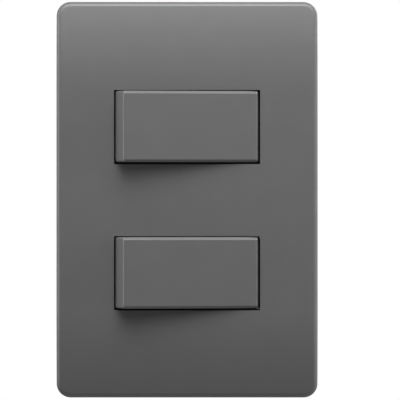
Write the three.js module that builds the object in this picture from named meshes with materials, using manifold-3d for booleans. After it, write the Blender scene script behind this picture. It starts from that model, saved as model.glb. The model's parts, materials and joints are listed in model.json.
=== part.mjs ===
// Double rocker wall switch: a 4x2 in wall plate with two single-pole rocker modules, one above the other.
//
// Millimetres. X runs to the right as the user sees it, Y runs into the wall and Z runs up. The origin is the
// middle of the unit on the wall's surface, so the plate and the rockers lie at Y below 0 and the module
// casings reach into the wall box at Y above 0. At rest both rockers stand proud at their left end.
//
// Each module is modelled in a frame of its own, whose origin is the middle of its rocker's pivot axis.

import * as THREE from "three";
import { mergeVertices } from "three/addons/utils/BufferGeometryUtils.js";
import Module from "manifold-3d";

// ---------------------------------------------------------------- driving dimensions

const CLEARANCE = 0.3; // between parts that are slid or dropped into each other
const FINE_CLEARANCE = 0.05; // between faces that rest on each other

// Wall plate.
const PLATE = { width: 78, height: 118.4, corner: 4.2, depth: 9, wall: 2, edge: 1.2 };
const CROWN = { flatHalf: 33.4, tilt: THREE.MathUtils.degToRad(10) }; // the face curves back above and below
const MODULE_PITCH = 21.8; // height of one module place: the frame has three
const WINDOW = { width: 43.56, height: 22.1, lip: 1.0, collar: 1.2, collarEnd: -3.5 };
const PLATE_SAG = 0.15; // the plate hangs on its catches, so its windows lie a little below the rockers
const PLATE_RIB = { x: 28, width: 1.2, height: 1.5, halfLength: 50 };
const PRY_NOTCH = { halfWidth: 5, depth: 1.2 };
const LATCH = { z: 38, halfLength: 3.5, tongueX: 34.6, tongueWall: 1.2, bump: 0.8, tip: -5, bumpHeight: 1.4 };

// Frame that is screwed to the wall box.
const FRAME = { width: 71.6, height: 104, corner: 5, thickness: 2, openingX: 48.6, openingZ: 65.2 };
const RAIL = { wall: 1.8, endWall: 1.6, front: -5.5, endFront: -2.8, rear: 3 };
const CROSSBAR = { width: 0.8, front: 0, rear: 3 }; // between two module places
const SCREW_SPACING = 83.3;
const SCREW_SLOT = { length: 10, width: 4.2 };
const MOUNTING_SCREW = { headRadius: 3.5, headHeight: 2.2, shankRadius: 1.7, length: 25 };

// Rocker, in the module's frame.
const TILT = THREE.MathUtils.degToRad(7); // each way from level
const PIVOT_DEPTH = 6; // from the plate's face back to the pivot axis
const ROCKER = {
  halfLength: 20.2,
  front: 8.83,
  halfHeight: 10.6,
  wall: 1.3,
  faceWall: 1.6,
  skirtEnd: -2.4,
  edge: 0.75, // chamfer along the face's long edges
  endEdge: 0.4, // and at its two ends
};
const WEB = { inner: 5.5, outer: 7.0, topHalf: 6, eyeRadius: 2.4 };
const PIVOT_PIN = { radius: 1.5, end: 8.9 };
const BARREL = { radius: 3.4, bore: 2.1, end: 3.0, boreTop: -7.2 };

// Plunger and its spring, in the rocker's frame.
const PLUNGER = {
  radius: 1.9,
  spigot: 1.0,
  spigotTop: -2.5,
  shoulder: -1.0,
  taper: 6.2,
  tipCentre: 8.0,
  tipRadius: 1.3,
};
const SPRING = { radius: 1.55, wire: 0.22, turns: 6, stepsPerTurn: 14 };

// Contact bar, in a frame of its own whose origin is the bar's tipping axis.
const BAR = {
  thickness: 0.8,
  left: -8,
  right: 9.3,
  halfWidth: 2.4,
  tabHalf: 0.6,
  tabEnd: 4.3,
  contactX: 7.6,
};
const BAR_GUIDE = { halfLength: 3.4, inner: 1.95, top: -1.3 };
const BAR_TILT = THREE.MathUtils.degToRad(9);
const TIP_GAP = 0.15; // plunger's tip to a level bar
const BAR_AXIS = PLUNGER.tipCentre + PLUNGER.tipRadius + TIP_GAP + BAR.thickness / 2;
const RIVET = {
  headRadius: 1.6,
  headHeight: 0.8,
  dome: 0.2,
  stemRadius: 0.8,
  tailRadius: 1.15,
  tailHeight: 0.3,
};

// Terminals, in the module's frame.
const STRIP = { front: 13.7, thickness: 0.8, neckHalf: 2.5, padHalf: 5.6, padStart: 11.2, end: 18.4 };
const CRADLE = { inner: 3.0, outer: 3.8, halfLength: 2.2, notch: 0.95, rise: 0.8 };
const FIXED_CONTACT = { x: 8.2, stripStart: 5.6 };
const TERMINAL_X = 14.5;
const WIRE_GAP = 4.4; // between strip and clamp plate with the screw backed out
const CLAMP = { halfLength: 3.3, halfWidth: 7.4, thickness: 1.0, lip: 0.7, lipDepth: 0.9 };
const TERMINAL_SCREW = { headRadius: 2.8, headHeight: 1.9, shankRadius: 1.45, shankEnd: 12.4 };

// Module casing, in the module's frame.
const COVER = { halfLength: 23.9, halfHeight: 10.7, front: 0.9, thickness: 1.7, stemX: 5.4, stemZ: 7.3 };
const EAR = { inner: 7.3, outer: 9.0, halfLength: 4.2, top: -2.8, hole: 1.65 };
const COVER_RIM = { halfLength: 18.5, halfHeight: 8.9, wall: 1.0, end: 4.2 };
const HOOK = { inner: 22.9, reach: 25.2, halfWidth: 3.5, top: -0.1, barbStart: 0, barbEnd: 1.2 };
const CASE_LATCH = { inner: 20.3, wall: 1.0, halfWidth: 4, end: 9.0, barb: 19.3, barbStart: 7.6 };
const BASE = { halfLength: 20, halfHeight: 10.4, wall: 1.2, front: 2.7, rear: 23.5 };
const PARTITION = { inner: 10, outer: 11, front: 4.4, notchHalf: 3.0 };
const WIRE_ENTRY = { near: 1.3, far: 6.7, front: 13.9, rear: 19.5 };

// ---------------------------------------------------------------- solids

const wasm = await Module();
wasm.setup();

const AXIS = { x: new THREE.Vector3(1, 0, 0), y: new THREE.Vector3(0, 1, 0), z: new THREE.Vector3(0, 0, 1) };

// For each plane: the directions of an outline's two coordinates and of the run, and the end it runs from.
const PLANES = {
  xy: { basis: [AXIS.x, AXIS.y, AXIS.z], shift: (from) => [0, 0, from] },
  yz: { basis: [AXIS.y, AXIS.z, AXIS.x], shift: (from) => [from, 0, 0] },
  xz: { basis: [AXIS.x, AXIS.z, AXIS.y.clone().negate()], shift: (from, to) => [0, to, 0] },
};

function solid(geometry) {
  const bare = geometry.index ? geometry.toNonIndexed() : geometry.clone();
  bare.deleteAttribute("normal");
  bare.deleteAttribute("uv");
  const merged = mergeVertices(bare, 1e-4);
  return new wasm.Manifold(
    new wasm.Mesh({
      numProp: 3,
      vertProperties: merged.attributes.position.array,
      triVerts: new Uint32Array(merged.index.array),
    }),
  );
}

const join = (first, ...others) => others.reduce((sum, other) => sum.add(other), first);
const cut = (first, ...others) => others.reduce((rest, other) => rest.subtract(other), first);

function block([x0, x1], [y0, y1], [z0, z1]) {
  const box = new THREE.BoxGeometry(x1 - x0, y1 - y0, z1 - z0);
  return solid(box.translate((x0 + x1) / 2, (y0 + y1) / 2, (z0 + z1) / 2));
}

// An outline drawn in one plane and run straight along the axis across it.
function prism(outline, plane, from, to, curveSegments = 6) {
  const { basis, shift } = PLANES[plane];
  const run = new THREE.ExtrudeGeometry(outline, { depth: to - from, bevelEnabled: false, curveSegments });
  run.applyMatrix4(new THREE.Matrix4().makeBasis(...basis));
  return solid(run.translate(...shift(from, to)));
}

// A round bar along one axis; `place` holds its other two coordinates.
function rod(radius, axis, from, to, place = {}, segments = 24) {
  const bar = new THREE.CylinderGeometry(radius, radius, to - from, segments);
  if (axis === "x") bar.rotateZ(Math.PI / 2);
  if (axis === "z") bar.rotateX(Math.PI / 2);
  const centre = { x: 0, y: 0, z: 0, ...place, [axis]: (from + to) / 2 };
  return solid(bar.translate(centre.x, centre.y, centre.z));
}

// A turned piece about the Y axis: points hold radius and Y, from one end on the axis to the other.
function turned(points, segments = 24) {
  return solid(new THREE.LatheGeometry(points.map(([radius, y]) => new THREE.Vector2(radius, y)), segments));
}

function polygon(points) {
  return new THREE.Shape(points.map(([u, v]) => new THREE.Vector2(u, v)));
}

function roundedRectangle(width, height, radius, u = 0, v = 0) {
  const [x, y] = [width / 2 - radius, height / 2 - radius];
  const quarter = Math.PI / 2;
  return new THREE.Shape()
    .absarc(u + x, v + y, radius, 0, quarter)
    .absarc(u - x, v + y, radius, quarter, 2 * quarter)
    .absarc(u - x, v - y, radius, 2 * quarter, 3 * quarter)
    .absarc(u + x, v - y, radius, 3 * quarter, 4 * quarter);
}

const span = (centre, half) => [centre - half, centre + half];
const mirrored = (side, near, far) => (side > 0 ? [near, far] : [-far, -near]);
const SIDES = [-1, 1];

// ---------------------------------------------------------------- materials

const material = (color, roughness, metalness = 0) =>
  new THREE.MeshStandardMaterial({ color, roughness, metalness });

const GRAPHITE = material("#696969", 0.42);
const DARK_PLASTIC = material("#2b2b2d", 0.55);
const LIGHT_PLASTIC = material("#b9bab6", 0.5);
const BRASS = material("#c9a24e", 0.32, 1);
const SILVER = material("#d6d5d0", 0.28, 1);
const ZINC_STEEL = material("#b4b7ba", 0.35, 1);
const SPRING_STEEL = material("#8f9296", 0.3, 1);

function piece(name, shape, look) {
  const { vertProperties, triVerts } = shape.getMesh();
  const geometry = new THREE.BufferGeometry();
  geometry.setAttribute("position", new THREE.BufferAttribute(vertProperties, 3));
  geometry.setIndex(new THREE.BufferAttribute(triVerts, 1));
  geometry.computeVertexNormals();
  const mesh = new THREE.Mesh(geometry, look);
  mesh.name = name;
  return mesh;
}

// ---------------------------------------------------------------- wall plate

const PLATE_FACE = -PLATE.depth;
const CROWN_RADIUS = (PLATE.height / 2 - CROWN.flatHalf) / Math.sin(CROWN.tilt);
const PIVOT_Y = PLATE_FACE + PIVOT_DEPTH;

// The face's line from bottom to top in the YZ plane: level in the middle, curving back at both ends. It runs
// a little past the plate's edges.
class CrownLine extends THREE.Curve {
  getPoint(t) {
    const bend = CROWN_RADIUS * CROWN.tilt + 4;
    const along = (2 * t - 1) * (CROWN.flatHalf + bend);
    const angle = Math.max(0, Math.abs(along) - CROWN.flatHalf) / CROWN_RADIUS;
    const height = Math.min(Math.abs(along), CROWN.flatHalf) + CROWN_RADIUS * Math.sin(angle);
    return new THREE.Vector3(0, PLATE_FACE + CROWN_RADIUS * (1 - Math.cos(angle)), Math.sign(along) * height);
  }
}

// The plate's side view, set in by `inset` from the face and by `end` from its top and bottom edges.
function crownOutline(inset, end, rear, edge = 0) {
  const radius = CROWN_RADIUS - inset;
  const top = PLATE.height / 2 - end;
  const tilt = Math.asin((top - edge - CROWN.flatHalf) / radius);
  const centre = PLATE_FACE + CROWN_RADIUS;
  const faceEnd = centre - radius * Math.cos(tilt);
  return new THREE.Shape()
    .moveTo(rear, -top)
    .lineTo(rear, top)
    .lineTo(faceEnd + edge, top)
    .quadraticCurveTo(faceEnd, top, faceEnd, top - edge)
    .absarc(centre, CROWN.flatHalf, radius, Math.PI - tilt, Math.PI)
    .absarc(centre, -CROWN.flatHalf, radius, Math.PI, Math.PI + tilt)
    .quadraticCurveTo(faceEnd, -top, faceEnd + edge, -top);
}

// The plate's section across its width, with rounded front edges, run along the crown. It is drawn with the
// face at v = 0, v running forwards.
function crownedSlab() {
  const [half, back] = [PLATE.width / 2, 2 * PLATE.depth];
  const section = new THREE.Shape()
    .moveTo(-half, -back)
    .lineTo(half, -back)
    .lineTo(half, -PLATE.edge)
    .quadraticCurveTo(half, 0, half - PLATE.edge, 0)
    .lineTo(PLATE.edge - half, 0)
    .quadraticCurveTo(-half, 0, -half, -PLATE.edge);
  const extrudePath = new CrownLine();
  return solid(new THREE.ExtrudeGeometry(section, { steps: 44, extrudePath, curveSegments: 4 }));
}

function coverPlate() {
  const outline = roundedRectangle(PLATE.width, PLATE.height, PLATE.corner);
  const [innerWidth, innerHeight] = [PLATE.width - 2 * PLATE.wall, PLATE.height - 2 * PLATE.wall];
  const cavityOutline = roundedRectangle(innerWidth, innerHeight, PLATE.corner - PLATE.wall);
  const reach = [-PLATE.width, PLATE.width];
  const body = prism(outline, "xz", 2 * PLATE_FACE, 0, 8)
    .intersect(prism(crownOutline(0, 0, 0, PLATE.edge), "yz", ...reach))
    .intersect(crownedSlab());
  const cavity = prism(cavityOutline, "xz", 2 * PLATE_FACE, 1)
    .intersect(prism(crownOutline(PLATE.wall, PLATE.wall, 1), "yz", ...reach));
  let plate = cut(body, cavity);
  const underside = PLATE_FACE + PLATE.wall;
  for (const side of SIDES) {
    const ribDepth = [underside - 0.5, underside + PLATE_RIB.height];
    const rib = block(span(side * PLATE_RIB.x, PLATE_RIB.width / 2), ribDepth, span(0, PLATE_RIB.halfLength));
    plate = join(plate, rib.intersect(body), ...SIDES.map((end) => plateCatch(side, end)));
  }
  for (const end of SIDES) plate = windowIn(plate, end * MODULE_PITCH - PLATE_SAG);
  const bottomWall = span(-PLATE.height / 2, PLATE.wall + 1);
  return cut(plate, block(span(0, PRY_NOTCH.halfWidth), [-PRY_NOTCH.depth, 1], bottomWall));
}

// Rib inside a side wall, which snaps behind the bump of the frame's tongue.
function plateCatch(side, end) {
  const wall = PLATE.width / 2 - PLATE.wall;
  const front = LATCH.tip + LATCH.bumpHeight + 2 * CLEARANCE;
  const overlap = 0.1;
  const x = mirrored(side, wall - LATCH.bump - overlap, wall + overlap);
  return block(x, [front - 0.2, front + LATCH.bumpHeight], span(end * LATCH.z, LATCH.halfLength + 0.5));
}

// A rocker's window: a thin lip in front, room for the turning ends behind it, and a collar round that.
function windowIn(plate, z) {
  const [halfX, halfZ] = [WINDOW.width / 2, WINDOW.height / 2];
  const roomX = rockerRadius() + 0.425;
  const lipRear = PLATE_FACE + WINDOW.lip;
  const collarDepth = [lipRear + 0.2, WINDOW.collarEnd];
  const collar = block(span(0, roomX + WINDOW.collar), collarDepth, span(z, halfZ + WINDOW.collar));
  const opening = block(span(0, halfX), [2 * PLATE_FACE, 0], span(z, halfZ));
  const room = block(span(0, roomX), [lipRear, 0], span(z, halfZ));
  return cut(join(plate, collar), opening, room);
}

// ---------------------------------------------------------------- frame and its screws

function supportFrame() {
  const [openX, openZ] = [FRAME.openingX / 2, FRAME.openingZ / 2];
  let frame = prism(roundedRectangle(FRAME.width, FRAME.height, FRAME.corner), "xz", -FRAME.thickness, 0);
  const railX = span(0, openX + RAIL.wall);
  const railZ = span(0, openZ + RAIL.endWall);
  const endRails = block(railX, [RAIL.endFront, RAIL.rear], railZ);
  const sideRails = block(railX, [RAIL.front, RAIL.rear], railZ);
  const betweenRails = block(span(0, openX), [RAIL.front - 1, RAIL.endFront], span(0, 2 * openZ));
  frame = join(frame, endRails, cut(sideRails, betweenRails));
  frame = cut(frame, block(span(0, openX), [-10, 10], span(0, openZ)));
  for (const place of [-1, 0, 1]) frame = cut(frame, hookSlots(place * MODULE_PITCH));
  for (const end of SIDES) {
    const barZ = span((end * MODULE_PITCH) / 2, CROSSBAR.width / 2);
    frame = join(frame, block(span(0, openX + 0.5), [CROSSBAR.front, CROSSBAR.rear], barZ));
    frame = cut(frame, screwSlot((end * SCREW_SPACING) / 2));
    for (const side of SIDES) frame = join(frame, tongue(side, end));
  }
  return frame;
}

// The pair of holes in the side rails that take one module's hooks.
function hookSlots(z) {
  const reach = FRAME.openingX / 2 + RAIL.wall + 0.2;
  const front = PIVOT_Y + HOOK.barbStart - 0.5;
  const rear = PIVOT_Y + HOOK.barbEnd + 0.5;
  return block([-reach, reach], [front, rear], span(z, HOOK.halfWidth + 0.7));
}

function screwSlot(z) {
  const slot = roundedRectangle(SCREW_SLOT.length, SCREW_SLOT.width, SCREW_SLOT.width / 2 - 0.01, 0, z);
  return prism(slot, "xz", -10, 10);
}

// Springy tongue on the frame's long edge, with a bump that holds the plate's catch.
function tongue(side, end) {
  const outer = LATCH.tongueX + LATCH.tongueWall;
  const z = span(end * LATCH.z, LATCH.halfLength);
  const stem = block(mirrored(side, LATCH.tongueX, outer), [LATCH.tip, 0], z);
  const bumpDepth = [LATCH.tip, LATCH.tip + LATCH.bumpHeight];
  return join(stem, block(mirrored(side, outer - 0.2, outer + LATCH.bump), bumpDepth, z));
}

// A cross-shaped driver recess that opens towards `direction` along Y.
function crossRecess(mouth, depth, direction, halfLength, halfWidth) {
  const y = direction < 0 ? [mouth - 1, mouth + depth] : [mouth - depth, mouth + 1];
  const [long, short] = [span(0, halfLength), span(0, halfWidth)];
  return join(block(long, y, short), block(short, y, long));
}

function mountingScrew() {
  const seat = -FRAME.thickness - FINE_CLEARANCE;
  const front = seat - MOUNTING_SCREW.headHeight;
  const { headRadius, shankRadius, length } = MOUNTING_SCREW;
  const body = turned([
    [0, front],
    [headRadius * 0.55, front],
    [headRadius * 0.9, front + 0.5],
    [headRadius, front + 1.2],
    [headRadius, seat],
    [shankRadius, seat],
    [shankRadius, seat + length - 1],
    [shankRadius - 0.7, seat + length],
    [0, seat + length],
  ]);
  return cut(body, crossRecess(front, 1.3, -1, 2.1, 0.45));
}

// ---------------------------------------------------------------- rocker and plunger

// The rocker's ends are arcs about the pivot axis, so the gap to the window stays even as it turns.
function rockerRadius() {
  return Math.hypot(ROCKER.halfLength, ROCKER.front);
}

// Outline in X and Y between a face line and a lower line, with ends on an arc about the pivot.
function rockerOutline(radius, front, end, edge) {
  const [frontAngle, endAngle] = [Math.asin(front / radius), Math.asin(end / radius)];
  const [faceX, softening] = [radius * Math.cos(frontAngle), edge / radius];
  return new THREE.Shape()
    .moveTo(edge - faceX, -front)
    .lineTo(faceX - edge, -front)
    .absarc(0, 0, radius, softening - frontAngle, -endAngle)
    .absarc(0, 0, radius, Math.PI + endAngle, Math.PI + frontAngle - softening);
}

function rocker() {
  const { front, halfHeight, wall, faceWall, skirtEnd, edge, endEdge } = ROCKER;
  const radius = rockerRadius();
  const sideView = polygon([
    [0, -halfHeight], [edge - front, -halfHeight], [-front, edge - halfHeight],
    [-front, halfHeight - edge], [edge - front, halfHeight], [0, halfHeight],
  ]);
  const outside = prism(rockerOutline(radius, front, -skirtEnd, endEdge), "xy", -halfHeight, halfHeight, 8)
    .intersect(prism(sideView, "yz", -30, 30));
  const inner = rockerOutline(radius - wall, front - faceWall, 1, 0.01);
  const inside = prism(inner, "xy", wall - halfHeight, halfHeight - wall, 8);
  const underside = faceWall - front;
  const root = underside - 0.3; // the inner features start inside the face's wall
  const barrel = rod(BARREL.radius, "y", root, BARREL.end);
  const crossRib = block(span(0, 0.6), [root, -3], span(0, WEB.inner + 0.2));
  const longRib = block(span(0, 19), [root, underside + 1.4], span(0, 0.6));
  const bore = rod(BARREL.bore, "y", BARREL.boreTop, BARREL.end + 1);
  return cut(join(cut(outside, inside), ...SIDES.map(pivotWeb), barrel, crossRib, longRib), bore);
}

// Web that hangs from the face and carries one pivot pin.
function pivotWeb(side) {
  const root = ROCKER.faceWall - ROCKER.front - 0.3;
  const outline = new THREE.Shape()
    .moveTo(-WEB.topHalf, root)
    .lineTo(WEB.topHalf, root)
    .lineTo(WEB.eyeRadius, 0)
    .absarc(0, 0, WEB.eyeRadius, 0, Math.PI);
  const web = prism(outline, "xy", ...mirrored(side, WEB.inner, WEB.outer));
  return join(web, rod(PIVOT_PIN.radius, "z", ...mirrored(side, WEB.inner + 0.2, PIVOT_PIN.end), {}, 32));
}

function plunger() {
  const { radius, spigot, spigotTop, shoulder, taper, tipCentre, tipRadius } = PLUNGER;
  const steps = 6;
  const tip = Array.from({ length: steps }, (_, i) => {
    const angle = (i / steps) * (Math.PI / 2);
    return [tipRadius * Math.cos(angle), tipCentre + tipRadius * Math.sin(angle)];
  });
  const stem = [[0, spigotTop], [spigot, spigotTop], [spigot, shoulder], [radius, shoulder], [radius, taper]];
  return turned([...stem, ...tip, [0, tipCentre + tipRadius]]);
}

class Helix extends THREE.Curve {
  constructor(radius, turns, from, to) {
    super();
    Object.assign(this, { radius, turns, from, to });
  }
  getPoint(t) {
    const angle = 2 * Math.PI * this.turns * t;
    const y = THREE.MathUtils.lerp(this.from, this.to, t);
    return new THREE.Vector3(this.radius * Math.cos(angle), y, this.radius * Math.sin(angle));
  }
}

function plungerSpring() {
  const { radius, wire, turns, stepsPerTurn } = SPRING;
  const [from, to] = [BARREL.boreTop + wire + FINE_CLEARANCE, PLUNGER.shoulder - wire - FINE_CLEARANCE];
  const section = new THREE.Shape().absarc(0, 0, wire, 0, 2 * Math.PI);
  const steps = turns * stepsPerTurn;
  const extrudePath = new Helix(radius, turns, from, to);
  return solid(new THREE.ExtrudeGeometry(section, { steps, extrudePath, curveSegments: 6 }));
}

// ---------------------------------------------------------------- contact bar

function contactBar() {
  const half = BAR.thickness / 2;
  const bar = block([BAR.left, BAR.right], span(0, half), span(0, BAR.halfWidth));
  const tabs = block(span(0, BAR.tabHalf), span(0, half), span(0, BAR.tabEnd));
  const guides = SIDES.map((side) =>
    block(span(0, BAR_GUIDE.halfLength), [BAR_GUIDE.top, 0], mirrored(side, BAR_GUIDE.inner, BAR.halfWidth)));
  const hole = rod(RIVET.stemRadius + FINE_CLEARANCE, "y", -1, 1, { x: BAR.contactX });
  return cut(join(bar, tabs, ...guides), hole);
}

// A contact rivet through a strip that lies at Y from `front` to `rear`. Its domed head points to
// `direction` along Y.
function contactRivet(front, rear, direction) {
  const { headRadius, headHeight, dome, stemRadius, tailRadius, tailHeight } = RIVET;
  const [seat, tailSeat] = direction > 0
    ? [rear + FINE_CLEARANCE, front - FINE_CLEARANCE]
    : [front - FINE_CLEARANCE, rear + FINE_CLEARANCE];
  const points = [
    [0, tailSeat - direction * tailHeight],
    [tailRadius, tailSeat - direction * tailHeight],
    [tailRadius, tailSeat],
    [stemRadius, tailSeat],
    [stemRadius, seat],
    [headRadius, seat],
    [headRadius, seat + direction * headHeight],
    [headRadius * 0.6, seat + direction * (headHeight + dome * 0.64)],
    [0, seat + direction * (headHeight + dome)],
  ];
  return turned(direction > 0 ? points : points.reverse());
}

// ---------------------------------------------------------------- terminals

// The end of a strip under a terminal screw, on the given side of the module.
function terminalPad(side) {
  const y = [STRIP.front, STRIP.front + STRIP.thickness];
  const pad = block(mirrored(side, STRIP.padStart, STRIP.end), y, span(0, STRIP.padHalf));
  const centre = { x: side * TERMINAL_X };
  return cut(pad, rod(TERMINAL_SCREW.shankRadius + 0.15, "y", STRIP.front - 1, STRIP.front + 2, centre));
}

function commonTerminal() {
  const rear = STRIP.front + STRIP.thickness;
  const neckX = [-STRIP.padStart - 0.2, CRADLE.halfLength];
  const neck = block(neckX, [STRIP.front, rear], span(0, STRIP.neckHalf));
  const web = block(span(0, CRADLE.halfLength), [STRIP.front, rear], span(0, CRADLE.outer));
  const cheekDepth = [BAR_AXIS - CRADLE.rise, rear];
  const cheeks = SIDES.map((side) =>
    block(span(0, CRADLE.halfLength), cheekDepth, mirrored(side, CRADLE.inner, CRADLE.outer)));
  const notch = join(
    rod(CRADLE.notch, "z", -5, 5, { y: BAR_AXIS }, 32),
    block(span(0, CRADLE.notch), [BAR_AXIS - 2, BAR_AXIS], [-5, 5]),
  );
  return join(terminalPad(-1), neck, cut(join(web, ...cheeks), notch));
}

function fixedTerminal() {
  const rear = STRIP.front + STRIP.thickness;
  const neckX = [FIXED_CONTACT.stripStart, STRIP.padStart + 0.2];
  const neck = block(neckX, [STRIP.front, rear], span(0, STRIP.neckHalf));
  const hole = rod(RIVET.stemRadius + FINE_CLEARANCE, "y", STRIP.front - 1, rear + 1, { x: FIXED_CONTACT.x });
  return cut(join(terminalPad(1), neck), hole);
}

function clampPlate() {
  const front = STRIP.front + STRIP.thickness + WIRE_GAP;
  const plate = block(span(0, CLAMP.halfLength), [front, front + CLAMP.thickness], span(0, CLAMP.halfWidth));
  const lips = SIDES.map((side) =>
    block(span(0, CLAMP.halfLength), [front - CLAMP.lipDepth, front + 0.2],
      mirrored(side, CLAMP.halfWidth - CLAMP.lip, CLAMP.halfWidth)));
  return cut(join(plate, ...lips), rod(TERMINAL_SCREW.shankRadius + 0.25, "y", front - 1, front + 2));
}

function terminalScrew() {
  const { headRadius, headHeight, shankRadius, shankEnd } = TERMINAL_SCREW;
  const seat = STRIP.front + STRIP.thickness + WIRE_GAP + CLAMP.thickness + FINE_CLEARANCE;
  const rear = seat + headHeight;
  const body = turned([
    [0, shankEnd],
    [shankRadius - 0.5, shankEnd],
    [shankRadius, shankEnd + 0.7],
    [shankRadius, seat],
    [headRadius, seat],
    [headRadius, rear - 0.4],
    [headRadius - 0.4, rear],
    [0, rear],
  ]);
  return cut(body, crossRecess(rear, 1.1, 1, 1.8, 0.4));
}

// ---------------------------------------------------------------- module casing

function moduleCover() {
  const rear = COVER.front + COVER.thickness;
  const floor = block(span(0, COVER.halfLength), [COVER.front, rear], span(0, COVER.halfHeight));
  const { halfLength, halfHeight, wall, end } = COVER_RIM;
  const rim = cut(
    block(span(0, halfLength), [rear - 0.2, end], span(0, halfHeight)),
    block(span(0, halfLength - wall), [rear - 1, end + 1], span(0, halfHeight - wall)),
  );
  const stemOpening = block(span(0, COVER.stemX), [COVER.front - 1, rear + 1], span(0, COVER.stemZ));
  const fittings = SIDES.flatMap((side) => [pivotEar(side), frameHook(side), caseLatch(side)]);
  const pinHoles = SIDES.map((side) =>
    rod(EAR.hole, "z", ...mirrored(side, EAR.inner - 1, EAR.outer + 0.2), {}, 32));
  return cut(join(cut(join(floor, rim), stemOpening), ...fittings), ...pinHoles);
}

// Ear that carries one end of the pivot.
function pivotEar(side) {
  const [half, crest] = [EAR.halfLength, -EAR.top];
  const outline = new THREE.Shape()
    .moveTo(half, COVER.front + 0.2)
    .lineTo(-half, COVER.front + 0.2)
    .lineTo(-crest, 0)
    .absarc(0, 0, crest, Math.PI, 2 * Math.PI);
  return prism(outline, "xy", ...mirrored(side, EAR.inner, EAR.outer));
}

// Hook at one end of the cover, which snaps into the frame's rail.
function frameHook(side) {
  const rear = COVER.front + COVER.thickness;
  const z = span(0, HOOK.halfWidth);
  const stem = block(mirrored(side, HOOK.inner, COVER.halfLength), [HOOK.top, rear], z);
  const barb = polygon([
    [side * (COVER.halfLength - 0.2), HOOK.barbStart],
    [side * HOOK.reach, HOOK.barbStart],
    [side * (COVER.halfLength + 0.3), HOOK.barbEnd],
    [side * (COVER.halfLength - 0.2), HOOK.barbEnd],
  ]);
  return join(stem, prism(barb, "xy", ...z));
}

// Arm at one end of the cover, whose barb holds the base.
function caseLatch(side) {
  const outer = CASE_LATCH.inner + CASE_LATCH.wall;
  const z = span(0, CASE_LATCH.halfWidth);
  const arm = block(mirrored(side, CASE_LATCH.inner, outer), [COVER.front + 1, CASE_LATCH.end], z);
  const barb = block(mirrored(side, CASE_LATCH.barb, outer), [CASE_LATCH.barbStart, CASE_LATCH.end], z);
  return join(arm, barb);
}

function moduleBase() {
  const { halfLength, halfHeight, wall, front, rear } = BASE;
  const innerX = halfLength - wall;
  const innerZ = halfHeight - wall;
  const shell = cut(
    prism(roundedRectangle(2 * halfLength, 2 * halfHeight, 1), "xz", front, rear, 4),
    block(span(0, innerX), [front - 1, rear - wall], span(0, innerZ)),
  );
  const partitionDepth = [PARTITION.front, rear - 0.2];
  const partitions = SIDES.map((side) =>
    block(mirrored(side, PARTITION.inner, PARTITION.outer), partitionDepth, span(0, innerZ + 0.2)));
  // The strips and the contact bar pass through a notch in the partitions.
  const notchDepth = [front - 1, STRIP.front + STRIP.thickness + 0.1];
  const notch = block(span(0, PARTITION.outer + 0.1), notchDepth, span(0, PARTITION.notchHalf));
  return cut(join(shell, ...partitions), notch, ...SIDES.flatMap(baseOpenings));
}

// The openings at one end of the base: latch window, two wire entries, and the well that bares the terminal
// screw to the rear.
function baseOpenings(side) {
  const innerX = BASE.halfLength - BASE.wall;
  const endWall = mirrored(side, innerX - 0.1, BASE.halfLength + 1);
  const latchDepth = [CASE_LATCH.barbStart - 0.4, CASE_LATCH.end + 0.4];
  const latchWindow = block(endWall, latchDepth, span(0, CASE_LATCH.halfWidth + 0.4));
  const wellDepth = [BASE.rear - 2 * BASE.wall, BASE.rear + 1];
  const wellZ = span(0, BASE.halfHeight - BASE.wall);
  const well = block(mirrored(side, PARTITION.outer, innerX), wellDepth, wellZ);
  const entries = SIDES.map((up) =>
    block(endWall, [WIRE_ENTRY.front, WIRE_ENTRY.rear], mirrored(up, WIRE_ENTRY.near, WIRE_ENTRY.far)));
  return [latchWindow, well, ...entries];
}

// ---------------------------------------------------------------- assembly

function switchModule(name) {
  const rockerGroup = new THREE.Group();
  rockerGroup.rotation.z = TILT;
  rockerGroup.add(
    piece(`${name}_rocker`, rocker(), GRAPHITE),
    piece(`${name}_plunger`, plunger(), LIGHT_PLASTIC),
    piece(`${name}_plunger_spring`, plungerSpring(), SPRING_STEEL),
  );

  const half = BAR.thickness / 2;
  const contactGroup = new THREE.Group();
  contactGroup.position.y = BAR_AXIS;
  contactGroup.rotation.z = -BAR_TILT;
  const movingContact = piece(`${name}_moving_contact`, contactRivet(-half, half, 1), SILVER);
  movingContact.position.x = BAR.contactX;
  contactGroup.add(piece(`${name}_contact_bar`, contactBar(), BRASS), movingContact);

  const fixedContact = piece(
    `${name}_fixed_contact`, contactRivet(STRIP.front, STRIP.front + STRIP.thickness, -1), SILVER);
  fixedContact.position.x = FIXED_CONTACT.x;

  const group = new THREE.Group();
  group.add(
    rockerGroup,
    contactGroup,
    fixedContact,
    piece(`${name}_module_cover`, moduleCover(), DARK_PLASTIC),
    piece(`${name}_module_base`, moduleBase(), LIGHT_PLASTIC),
    piece(`${name}_common_terminal`, commonTerminal(), BRASS),
    piece(`${name}_fixed_terminal`, fixedTerminal(), BRASS),
  );
  for (const [terminal, side] of [["common", -1], ["fixed", 1]]) {
    const clamp = piece(`${name}_${terminal}_clamp`, clampPlate(), ZINC_STEEL);
    const screw = piece(`${name}_${terminal}_screw`, terminalScrew(), ZINC_STEEL);
    clamp.position.x = side * TERMINAL_X;
    screw.position.x = side * TERMINAL_X;
    group.add(clamp, screw);
  }
  return group;
}

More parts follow.
